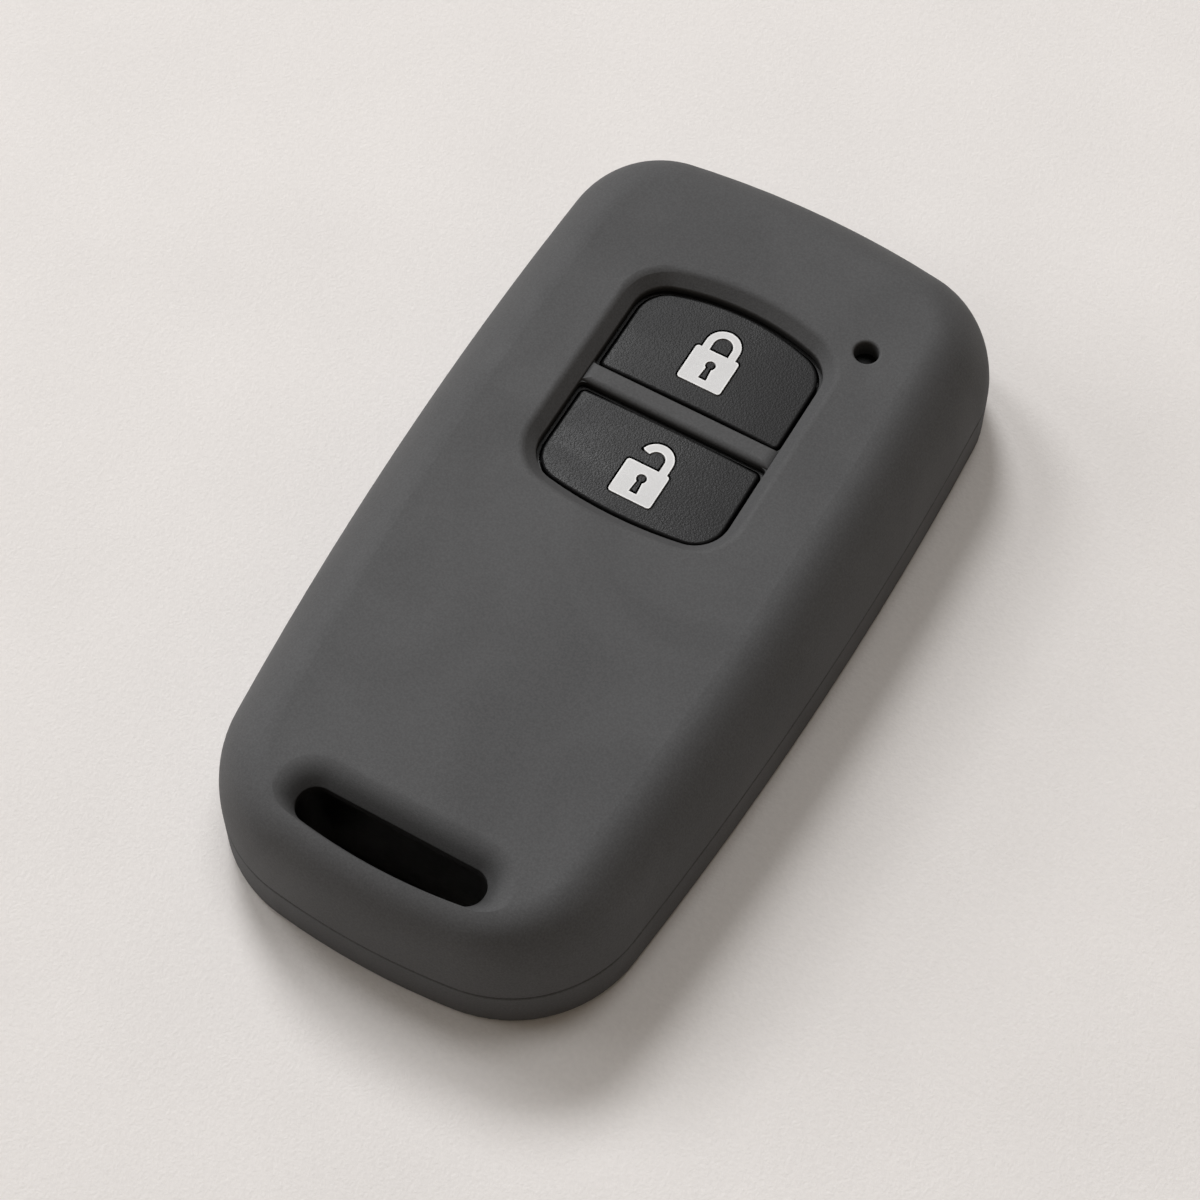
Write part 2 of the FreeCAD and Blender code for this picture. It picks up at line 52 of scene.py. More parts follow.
TURN_TOLERANCE = math.radians(1.0)
LOG = logging.getLogger("key_fob_cover")

Color = tuple[float, float, float]
Range = tuple[float, float]
Sockets = dict[str | int, Any]


def opaque(color: Color, gain: float = 1.0) -> tuple[float, float, float, float]:
    """Returns a colour with full alpha, its channels multiplied by gain."""
    return (color[0] * gain, color[1] * gain, color[2] * gain, 1.0)


class NodeDesk:
    """Adds nodes to one tree and wires them together."""

    def __init__(self, tree: bpy.types.NodeTree) -> None:
        """Keeps the tree that the nodes go into."""
        self.tree = tree

    def add(self, kind: str, sockets: Sockets | None = None, **settings: Any) -> bpy.types.Node:
        """Adds one node.

        Args:
            kind: The node's type name.
            sockets: Values or output sockets for its inputs, by name or number.
            **settings: The node's own properties.

        Returns:
            The new node.
        """
        node = self.tree.nodes.new(kind)
        for key, value in settings.items():
            setattr(node, key, value)
        for key, value in (sockets or {}).items():
            if isinstance(value, bpy.types.NodeSocket):
                self.tree.links.new(value, node.inputs[key])
            else:
                node.inputs[key].default_value = value
        return node

    def place(self) -> bpy.types.NodeSocket:
        """Returns the object's own coordinates."""
        return self.add("ShaderNodeTexCoord").outputs["Object"]

    def effect(self, group: bpy.types.NodeTree, **values: float) -> bpy.types.Node:
        """Places a shared effect, with its own values, and returns the group node."""
        return self.add("ShaderNodeGroup", values, node_tree=group)

    def math(self, operation: str, first: Any, second: Any = 0.0) -> bpy.types.NodeSocket:
        """Adds a Math node.

        Args:
            operation: The Math node's operation.
            first: Its first value or socket.
            second: Its second value or socket.

        Returns:
            The node's output socket.
        """
        return self.add("ShaderNodeMath", {0: first, 1: second}, operation=operation).outputs[0]

    def spread(
        self, value: Any, low: float, high: float, to_low: float = 0.0, to_high: float = 1.0
    ) -> bpy.types.NodeSocket:
        """Adds a Map Range node.

        Args:
            value: The socket to map.
            low: Value that becomes to_low.
            high: Value that becomes to_high.
            to_low: Low end of the result.
            to_high: High end of the result.

        Returns:
            The mapped value's socket.
        """
        sockets = {"Value": value, "From Min": low, "From Max": high, "To Min": to_low, "To Max": to_high}
        return self.add("ShaderNodeMapRange", sockets).outputs["Result"]

    def mix(self, factor: Any, first: Any, second: Any) -> bpy.types.NodeSocket:
        """Adds a colour Mix node.

        Args:
            factor: Share of the second colour.
            first: First colour or socket.
            second: Second colour or socket.

        Returns:
            The mixed colour's socket.
        """
        return self.add("ShaderNodeMix", {0: factor, 6: first, 7: second}, data_type="RGBA").outputs[2]

    def gain(self, color: Any, factor: Any) -> bpy.types.NodeSocket:
        """Multiplies a colour by a varying factor and returns the result's socket."""
        node = self.add("ShaderNodeVectorMath", {0: color, "Scale": factor}, operation="SCALE")
        return node.outputs["Vector"]


class SurfaceEffects:
    """Effects that several finishes share, each a node group that is built once."""

    PEBBLE_RANGE: Range = (0.1, 0.75)
    SKIN_SCALE: float = 1.7
    FLECK_SCALE: float = 0.9
    FLECK_RANGE: Range = (0.32, 0.68)
    CLOUD_RANGE: Range = (0.3, 0.7)
    SMEAR_SCALE: float = 0.45
    SMEAR_RANGE: Range = (0.35, 0.65)
    SMEAR_DISTORTION: float = 1.2
    EDGE_RANGE: Range = (1.0, 0.75)
    BREAK_RANGE: Range = (0.35, 0.65)
    LEAST_BREAK: float = 0.2
    BEVEL_SAMPLES: int = 6

    @staticmethod
    def start(name: str, inputs: dict[str, float], outputs: list[str]) -> tuple[NodeDesk, Any, Any]:
        """Opens a new group with its sockets.

        Args:
            name: The group's name.
            inputs: Input names with their usual values.
            outputs: Output names.

        Returns:
            The group's desk, its input node and its output node.
        """
        tree = bpy.data.node_groups.new(name, "ShaderNodeTree")
        for label, value in inputs.items():
            socket = tree.interface.new_socket(name=label, in_out="INPUT", socket_type="NodeSocketFloat")
            socket.default_value = value
        for label in outputs:
            tree.interface.new_socket(name=label, in_out="OUTPUT", socket_type="NodeSocketFloat")
        desk = NodeDesk(tree)
        return desk, desk.add("NodeGroupInput"), desk.add("NodeGroupOutput")

    @classmethod
    def moulded_grain(cls) -> bpy.types.NodeTree:
        """Pebbled skin of a moulded surface.

        Returns:
            Group with the inputs Scale and Pebble, and the outputs Height and Fleck.
        """
        name = "moulded_grain"
        if name in bpy.data.node_groups:
            return bpy.data.node_groups[name]
        desk, given, result = cls.start(name, {"Scale": 3000.0, "Pebble": 0.5}, ["Height", "Fleck"])
        place = desk.place()
        scale = given.outputs["Scale"]
        cells = desk.add("ShaderNodeTexVoronoi", {"Vector": place, "Scale": scale})
        noise_scale = desk.math("MULTIPLY", scale, cls.SKIN_SCALE)
        noise = desk.add("ShaderNodeTexNoise", {"Vector": place, "Scale": noise_scale, "Detail": 3.0})
        pebble = desk.spread(cells.outputs["Distance"], *cls.PEBBLE_RANGE, 1.0, 0.0)
        share = desk.math("MULTIPLY", pebble, given.outputs["Pebble"])
        height = desk.math("ADD", share, noise.outputs["Fac"])
        fleck_scale = desk.math("MULTIPLY", scale, cls.FLECK_SCALE)
        fleck = desk.add("ShaderNodeTexNoise", {"Vector": place, "Scale": fleck_scale, "Detail": 2.0})
        desk.tree.links.new(height, result.inputs["Height"])
        desk.tree.links.new(desk.spread(fleck.outputs["Fac"], *cls.FLECK_RANGE), result.inputs["Fleck"])
        return desk.tree

    @classmethod
    def mottle(cls) -> bpy.types.NodeTree:
        """Slow clouding from moulding and handling.

        Returns:
            Group with the input Scale and the outputs Cloud and Smear.
        """
        name = "mottle"
        if name in bpy.data.node_groups:
            return bpy.data.node_groups[name]
        desk, given, result = cls.start(name, {"Scale": 150.0}, ["Cloud", "Smear"])
        place = desk.place()
        scale = given.outputs["Scale"]
        cloud = desk.add("ShaderNodeTexNoise", {"Vector": place, "Scale": scale, "Detail": 4.0})
        smear_scale = desk.math("MULTIPLY", scale, cls.SMEAR_SCALE)
        smear = desk.add(
            "ShaderNodeTexNoise",
            {"Vector": place, "Scale": smear_scale, "Detail": 2.0, "Distortion": cls.SMEAR_DISTORTION},
        )
        desk.tree.links.new(desk.spread(cloud.outputs["Fac"], *cls.CLOUD_RANGE), result.inputs["Cloud"])
        desk.tree.links.new(desk.spread(smear.outputs["Fac"], *cls.SMEAR_RANGE), result.inputs["Smear"])
        return desk.tree

    @classmethod
    def edge_wear(cls) -> bpy.types.NodeTree:
        """Broken rubbing along edges; the same lighter edge serves as a painted highlight on the sign's ink.

        Returns:
            Group with the inputs Radius and Scale, and the output Rub.
        """
        name = "edge_wear"
        if name in bpy.data.node_groups:
            return bpy.data.node_groups[name]
        desk, given, result = cls.start(name, {"Radius": 0.25 * MM, "Scale": 900.0}, ["Rub"])
        rounded = desk.add("ShaderNodeBevel", {"Radius": given.outputs["Radius"]}, samples=cls.BEVEL_SAMPLES)
        normal = desk.add("ShaderNodeNewGeometry").outputs["Normal"]
        turn = desk.add(
            "ShaderNodeVectorMath", {0: rounded.outputs["Normal"], 1: normal}, operation="DOT_PRODUCT"
        )
        edge = desk.spread(turn.outputs["Value"], *cls.EDGE_RANGE)
        breaks = desk.add(
            "ShaderNodeTexNoise", {"Vector": desk.place(), "Scale": given.outputs["Scale"], "Detail": 4.0}
        )
        broken = desk.spread(breaks.outputs["Fac"], *cls.BREAK_RANGE, cls.LEAST_BREAK)
        desk.tree.links.new(desk.math("MULTIPLY", edge, broken), result.inputs["Rub"])
        return desk.tree


@dataclass(frozen=True)
class Finish:
    """What every finish has: a name and a main colour."""

    name: str
    color: Color

    def open(self) -> tuple[bpy.types.Material, NodeDesk]:
        """Starts the finish's material and returns it with its desk."""
        material = bpy.data.materials.new(self.name)
        material.use_nodes = True
        material.node_tree.nodes.clear()
        material.diffuse_color = opaque(self.color)
        return material, NodeDesk(material.node_tree)

    def close(self, desk: NodeDesk, sockets: Sockets) -> None:
        """Adds the surface shader and the output.

        Args:
            desk: The material's desk.
            sockets: The shader's inputs.
        """
        shader = desk.add("ShaderNodeBsdfPrincipled", sockets)
        desk.add("ShaderNodeOutputMaterial", {"Surface": shader.outputs["BSDF"]})

    def build(self) -> bpy.types.Material:
        """Makes the material: each kind of finish has its own way."""
        raise NotImplementedError


@dataclass(frozen=True)
class MouldedFinish(Finish):
    """Moulded plastic or elastomer with a pebbled skin, clouding and rubbed edges, which on the sign's ink
    are a painted highlight.
    """

    rub_and_highlight_color: Color
    roughness: float
    specular: float
    grain_scale: float
    grain_depth: float
    pebble: float = 0.5
    fleck: float = 0.06
    cloud: float = 0.05
    cloud_scale: float = 150.0
    rub_and_highlight: float = 0.3
    rub_and_highlight_radius: float = 0.25 * MM
    gloss_spread: float = 0.06

    def build(self) -> bpy.types.Material:
        """Makes the finish's material and returns it."""
        material, desk = self.open()
        grain = desk.effect(SurfaceEffects.moulded_grain(), Scale=self.grain_scale, Pebble=self.pebble)
        mottle = desk.effect(SurfaceEffects.mottle(), Scale=self.cloud_scale)
        dark = opaque(self.color, 1.0 - self.cloud)
        light = opaque(self.color, 1.0 + self.cloud)
        clouded = desk.mix(mottle.outputs["Cloud"], dark, light)
        fleck = desk.spread(grain.outputs["Fleck"], 0.0, 1.0, 1.0 - self.fleck, 1.0 + self.fleck)
        color = self.paint_shade(desk, desk.gain(clouded, fleck))
        # Lighter colour along edges: worn edges on most parts, a painted highlight along the sign's ink.
        if self.rub_and_highlight:
            wear_and_highlight = desk.effect(SurfaceEffects.edge_wear(), Radius=self.rub_and_highlight_radius)
            rub_and_highlight = desk.math("MULTIPLY", wear_and_highlight.outputs["Rub"], self.rub_and_highlight)
            color = desk.mix(rub_and_highlight, color, opaque(self.rub_and_highlight_color))
        smooth = self.roughness - self.gloss_spread
        coarse = self.roughness + self.gloss_spread
        bump = desk.add("ShaderNodeBump", {"Height": grain.outputs["Height"], "Distance": self.grain_depth})
        sockets = {
            "Base Color": color,
            "Roughness": desk.spread(mottle.outputs["Smear"], 0.0, 1.0, smooth, coarse),
            "Specular IOR Level": self.specular,
            "Normal": bump.outputs["Normal"],
        }
        self.close(desk, sockets)
        return material

    def paint_shade(self, desk: NodeDesk, color: bpy.types.NodeSocket) -> bpy.types.NodeSocket:
        """Returns the colour with any painted shade: a plain moulding has none."""
        return color


@dataclass(frozen=True)
class CoverFinishWithPaintedShade(MouldedFinish):
    """The cover's elastomer, with painted shade round the slot's mouth and low on the window's walls."""

    slot_y: float = -32.725 * MM
    slot_length: float = 16.6 * MM
    slot_width: float = 3.75 * MM
    slot_corner: float = 1.6 * MM
    mouth_reach: float = 2.4 * MM
    mouth_core: float = 0.6 * MM
    mouth_shade_strength: float = 0.45
    wall_fade: float = 0.25 * MM
    wall_shade_strength: float = 0.25
    near_fade: Range = (-34.3 * MM, -32.9 * MM)
    right_fade: Range = (10.4 * MM, 8.4 * MM)
    window_y: float = 12.45 * MM
    window_half_width: float = 8.95 * MM
    window_half_length: float = 11.65 * MM
    window_fade: float = 0.1 * MM
    shade_heights: Range = (11.95 * MM, 12.3 * MM)
    shade_floor: float = 9.0 * MM
    window_shade_strength: float = 0.25

    def paint_shade(self, desk: NodeDesk, color: bpy.types.NodeSocket) -> bpy.types.NodeSocket:
        """Paints shade into the colour round the slot's mouth and low on the window's walls.

        Args:
            desk: The material's desk.
            color: The colour so far.

        Returns:
            The darkened colour's socket.
        """
        place = desk.add("ShaderNodeSeparateXYZ", {"Vector": desk.place()}).outputs
        return desk.gain(desk.gain(color, self.painted_mouth_shade_level(desk, place)), self.painted_window_shade_level(desk, place))

    def painted_mouth_shade_level(self, desk: NodeDesk, place: Any) -> bpy.types.NodeSocket:
        """Level of the colour round the slot, with painted shade: darker at its far side and left end.

        Args:
            desk: The material's desk.
            place: Sockets of the place's X, Y and Z.

        Returns:
            The level's socket.
        """
        along = desk.math("ABSOLUTE", desk.math("SUBTRACT", place["Y"], self.slot_y))
        across = desk.math("ABSOLUTE", place["X"])
        past_end = desk.math("SUBTRACT", across, self.slot_length / 2 - self.slot_corner)
        past_side = desk.math("SUBTRACT", along, self.slot_width / 2 - self.slot_corner)
        past = {"X": desk.math("MAXIMUM", past_end, 0.0), "Y": desk.math("MAXIMUM", past_side, 0.0)}
        step = desk.add("ShaderNodeCombineXYZ", past).outputs["Vector"]
        reach = desk.add("ShaderNodeVectorMath", {0: step}, operation="LENGTH").outputs["Value"]
        edge = self.slot_corner
        inner, outer = edge + self.mouth_core, edge + self.mouth_reach
        # Painted shade: the colour darkens towards the slot's rim and on its walls, at its far side and left
        # end.
        mouth = desk.spread(reach, outer, inner, 0.0, 1.0 - self.mouth_shade_strength)
        wall = desk.spread(reach, edge + self.wall_fade, edge, 0.0, 1.0 - self.wall_shade_strength)
        far = desk.spread(place["Y"], *self.near_fade)
        left = desk.spread(place["X"], *self.right_fade)
        share = desk.math("MULTIPLY", desk.math("MULTIPLY", desk.math("MAXIMUM", mouth, wall), far), left)
        return desk.math("SUBTRACT", 1.0, share)

    def painted_window_shade_level(self, desk: NodeDesk, place: Any) -> bpy.types.NodeSocket:
        """Level of the colour on the window's walls beside the buttons, with painted shade low down.

        Args:
            desk: The material's desk.
            place: Sockets of the place's X, Y and Z.

        Returns:
            The level's socket.
        """
        along = desk.math("ABSOLUTE", desk.math("SUBTRACT", place["Y"], self.window_y))
        across = desk.math("ABSOLUTE", place["X"])
        inside = desk.math(
            "MULTIPLY",
            desk.spread(across, self.window_half_width + self.window_fade, self.window_half_width),
            desk.spread(along, self.window_half_length + self.window_fade, self.window_half_length),
        )
        low, high = self.shade_heights
        # Painted shade: the colour darkens low on the window's walls.
        deep = desk.spread(place["Z"], high, low, 0.0, 1.0 - self.window_shade_strength)
        front = desk.spread(place["Z"], self.shade_floor, self.shade_floor + self.window_fade)
        share = desk.math("MULTIPLY", desk.math("MULTIPLY", deep, inside), front)
        return desk.math("SUBTRACT", 1.0, share)


@dataclass(frozen=True)
class MetalFinish(Finish):
    """Drawn, rolled or pressed metal: fine lines or rings, and smears of tarnish."""

    tarnish: Color
    roughness: float
    line_scale: tuple[float, float, float]
    line_depth: float
    centre: tuple[float, float, float] = (0.0, 0.0, 0.0)
    rings: bool = False
    ring_scale: float = 500.0
    tarnish_scale: float = 400.0
    tarnish_share: float = 0.35
    gloss_spread: float = 0.15

    def build(self) -> bpy.types.Material:
        """Makes the finish's material and returns it."""
        material, desk = self.open()
        back = tuple(-value for value in self.centre)
        place = desk.add("ShaderNodeMapping", {"Vector": desk.place(), "Location": back}).outputs["Vector"]
        stretched = desk.add("ShaderNodeMapping", {"Vector": place, "Scale": self.line_scale})
        lines = desk.add(
            "ShaderNodeTexNoise", {"Vector": stretched.outputs["Vector"], "Scale": 1.0, "Detail": 5.0}
        )
        height = lines.outputs["Fac"]
        if self.rings:
            turned = desk.add(
                "ShaderNodeTexWave",
                {"Vector": place, "Scale": self.ring_scale, "Distortion": 1.5, "Detail": 2.0},
                wave_type="RINGS",
                rings_direction="Z",
            )
            height = desk.math("ADD", height, turned.outputs["Fac"])
        mottle = desk.effect(SurfaceEffects.mottle(), Scale=self.tarnish_scale)
        cloud = desk.spread(mottle.outputs["Cloud"], 0.0, 1.0, 0.0, self.tarnish_share)
        coarse = self.roughness + self.gloss_spread
        bump = desk.add("ShaderNodeBump", {"Height": height, "Distance": self.line_depth})
        sockets = {
            "Base Color": desk.mix(cloud, opaque(self.color), opaque(self.tarnish)),
            "Metallic": 1.0,
            "Roughness": desk.spread(mottle.outputs["Smear"], 0.0, 1.0, self.roughness, coarse),
            "Normal": bump.outputs["Normal"],
        }
        self.close(desk, sockets)
        return material


@dataclass(frozen=True)
class BoardFinish(Finish):
    """Printed board: solder mask over copper tracks, with bare pads."""

    track_color: Color
    pad_color: Color
    track_scale: float
    pad_scale: float
    roughness: float
    pad_range: Range = (0.1, 0.13)
    pad_scatter: float = 0.75
    cloud: float = 0.15
    cloud_scale: float = 300.0
    relief: float = 0.02 * MM
    gloss_spread: float = 0.15

    def build(self) -> bpy.types.Material:
        """Makes the finish's material and returns it."""
        material, desk = self.open()
        place = desk.place()
        tracks = desk.add(
            "ShaderNodeTexBrick",
            {"Vector": place, "Scale": self.track_scale, "Mortar Size": 0.05, "Mortar Smooth": 0.2},
            offset=0.37,
            squash=1.6,
        )
        pads = desk.add(
            "ShaderNodeTexVoronoi",
            {"Vector": place, "Scale": self.pad_scale, "Randomness": self.pad_scatter},
        )
        pad = desk.spread(pads.outputs["Distance"], *self.pad_range, 1.0, 0.0)
        mottle = desk.effect(SurfaceEffects.mottle(), Scale=self.cloud_scale)
        dark = opaque(self.color, 1.0 - self.cloud)
        mask = desk.mix(mottle.outputs["Cloud"], dark, opaque(self.color, 1.0 + self.cloud))
        tracked = desk.mix(tracks.outputs["Fac"], mask, opaque(self.track_color))
        height = desk.math("ADD", tracks.outputs["Fac"], pad)
        bump = desk.add("ShaderNodeBump", {"Height": height, "Distance": self.relief})
        coarse = self.roughness + self.gloss_spread
        sockets = {
            "Base Color": desk.mix(pad, tracked, opaque(self.pad_color)),
            "Metallic": pad,
            "Roughness": desk.spread(mottle.outputs["Smear"], 0.0, 1.0, self.roughness, coarse),
            "Normal": bump.outputs["Normal"],
        }
        self.close(desk, sockets)
        return material


@dataclass(frozen=True)
class WindingFinish(Finish):
    """Enamelled wire laid turn beside turn, with painted shade in the grooves between turns."""

    groove_shade_color: Color
    wire_pitch: float
    roughness: float
    shades: Range = (0.8, 1.1)
    shade_scale: float = 900.0
    groove_share: float = 0.3
    metal_share: float = 0.85
    gloss_spread: float = 0.12
    wave_per_unit: float = 20.0

    def build(self) -> bpy.types.Material:
        """Makes the finish's material and returns it."""
        material, desk = self.open()
        scale = 2.0 * math.pi / (self.wave_per_unit * self.wire_pitch)
        turns = desk.add(
            "ShaderNodeTexWave",
            {"Vector": desk.place(), "Scale": scale, "Distortion": 0.25, "Detail": 1.0},
            wave_type="BANDS",
            bands_direction="X",
        )
        mottle = desk.effect(SurfaceEffects.mottle(), Scale=self.shade_scale)
        dark, light = (opaque(self.color, shade) for shade in self.shades)
        wire = desk.mix(mottle.outputs["Cloud"], dark, light)
        depth = self.wire_pitch * self.groove_share
        bump = desk.add("ShaderNodeBump", {"Height": turns.outputs["Fac"], "Distance": depth})
        coarse = self.roughness + self.gloss_spread
        sockets = {
            # Darker between the turns: painted shade in the grooves.
            "Base Color": desk.mix(turns.outputs["Fac"], opaque(self.groove_shade_color), wire),
            "Metallic": self.metal_share,
            "Roughness": desk.spread(mottle.outputs["Smear"], 0.0, 1.0, self.roughness, coarse),
            "Normal": bump.outputs["Normal"],
        }
        self.close(desk, sockets)
        return material


@dataclass(frozen=True)
class PaperFinish(Finish):
    """Pale matt paper under the object, with fibres and soft unevenness."""

    fibre_scale: float
    fibre_depth: float
    unevenness: float
    pebble: float = 0.2
    cloud_scale: float = 60.0
    roughness: float = 0.95
    specular: float = 0.1

    def build(self) -> bpy.types.Material:
        """Makes the finish's material and returns it."""
        material, desk = self.open()
        grain = desk.effect(SurfaceEffects.moulded_grain(), Scale=self.fibre_scale, Pebble=self.pebble)
        mottle = desk.effect(SurfaceEffects.mottle(), Scale=self.cloud_scale)
        low, high = 1.0 - self.unevenness, 1.0 + self.unevenness
        clouded = desk.mix(mottle.outputs["Cloud"], opaque(self.color, low), opaque(self.color, high))
        fleck = desk.spread(grain.outputs["Fleck"], 0.0, 1.0, low, high)
        bump = desk.add("ShaderNodeBump", {"Height": grain.outputs["Height"], "Distance": self.fibre_depth})
        sockets = {
            "Base Color": desk.gain(clouded, fleck),
            "Roughness": self.roughness,
            "Specular IOR Level": self.specular,
            "Normal": bump.outputs["Normal"],
        }
        self.close(desk, sockets)
        return material


class Bench:
    """Modelling steps that the pieces share, each done with Blender's own operators."""

    @staticmethod
    def clear() -> None:
        """Leaves edit mode and deselects everything."""
        if bpy.context.mode != "OBJECT":
            bpy.ops.object.mode_set(mode="OBJECT")
        bpy.ops.object.select_all(action="DESELECT")

    @classmethod
    def focus(cls, piece: bpy.types.Object) -> None:
        """Makes one piece the only selected and active one."""
        cls.clear()
        piece.select_set(True)
        bpy.context.view_layer.objects.active = piece

    @classmethod
    def seat(cls, piece: bpy.types.Object) -> None:
        """Moves a piece's place, turn and scale into its mesh."""
        cls.focus(piece)
        bpy.ops.object.transform_apply(location=True, rotation=True, scale=True)

    @classmethod
    def block(cls, name: str, low: Vector, high: Vector) -> bpy.types.Object:
        """Adds a block between two corners.

        Args:
            name: The block's name.
            low: Lowest corner.
            high: Highest corner.

        Returns:
            The block's object, at the origin.
        """
        cls.clear()
        bpy.ops.mesh.primitive_cube_add(size=1.0, location=(low + high) / 2)
        piece = bpy.context.active_object
        piece.name = name
        piece.scale = high - low
        cls.seat(piece)
        return piece

    @classmethod
    def pick(cls, piece: bpy.types.Object, mode: str, test: Callable[[Any], bool]) -> None:
        """Enters edit mode and selects the edges or faces that pass a test.

        Args:
            piece: The piece to edit.
            mode: EDGE or FACE.
            test: Says whether an edge or face is wanted.
        """
        cls.focus(piece)
        bpy.ops.object.mode_set(mode="EDIT")
        bpy.ops.mesh.select_mode(type=mode)
        bpy.ops.mesh.select_all(action="DESELECT")
        mesh = bmesh.from_edit_mesh(piece.data)
        elements = mesh.edges if mode == "EDGE" else mesh.faces
        for element in [element for element in elements if test(element)]:
            element.select_set(True)
        bmesh.update_edit_mesh(piece.data)

    @classmethod
    def heal(cls, piece: bpy.types.Object) -> None:
        """Merges doubled points and turns all faces outwards."""
        cls.focus(piece)
        bpy.ops.object.mode_set(mode="EDIT")
        bpy.ops.mesh.select_all(action="SELECT")
        bpy.ops.mesh.remove_doubles(threshold=MERGE_DISTANCE)
        bpy.ops.mesh.normals_make_consistent(inside=False)
        bpy.ops.object.mode_set(mode="OBJECT")

    @classmethod
    def combine(cls, piece: bpy.types.Object, tool: bpy.types.Object, operation: str) -> None:
        """Joins a tool to a piece, or cuts the piece with it: a cut's faces keep the tool's finish.

        Args:
            piece: The piece that stays.
            tool: The other shape, which goes.
            operation: UNION or DIFFERENCE.
        """
        modifier = piece.modifiers.new(operation.lower(), "BOOLEAN")
        modifier.operation = operation
        modifier.solver = "EXACT"
        modifier.material_mode = "TRANSFER"
        modifier.object = tool
        cls.focus(piece)
        bpy.ops.object.modifier_apply(modifier=modifier.name)
        bpy.data.objects.remove(tool)

    @staticmethod
    def paint(piece: bpy.types.Object, finish: bpy.types.Material) -> None:
        """Makes a finish the piece's only one."""
        piece.data.materials.clear()
        piece.data.materials.append(finish)

    @classmethod
    def smooth(cls, piece: bpy.types.Object, degrees: float = 30.0) -> None:
        """Shades a piece smooth, apart from its sharp edges, and keeps its broad faces flat.

        Args:
            piece: The piece.
            degrees: Least angle of a sharp edge.
        """
        cls.focus(piece)
        bpy.ops.object.shade_smooth_by_angle(angle=math.radians(degrees))
        weight = piece.modifiers.new("weight", "WEIGHTED_NORMAL")
        weight.keep_sharp = True
        bpy.ops.object.modifier_apply(modifier=weight.name)


class SignKind(Enum):
    """The two signs on the buttons."""

    LOCKED = "locked"
    OPEN = "open"


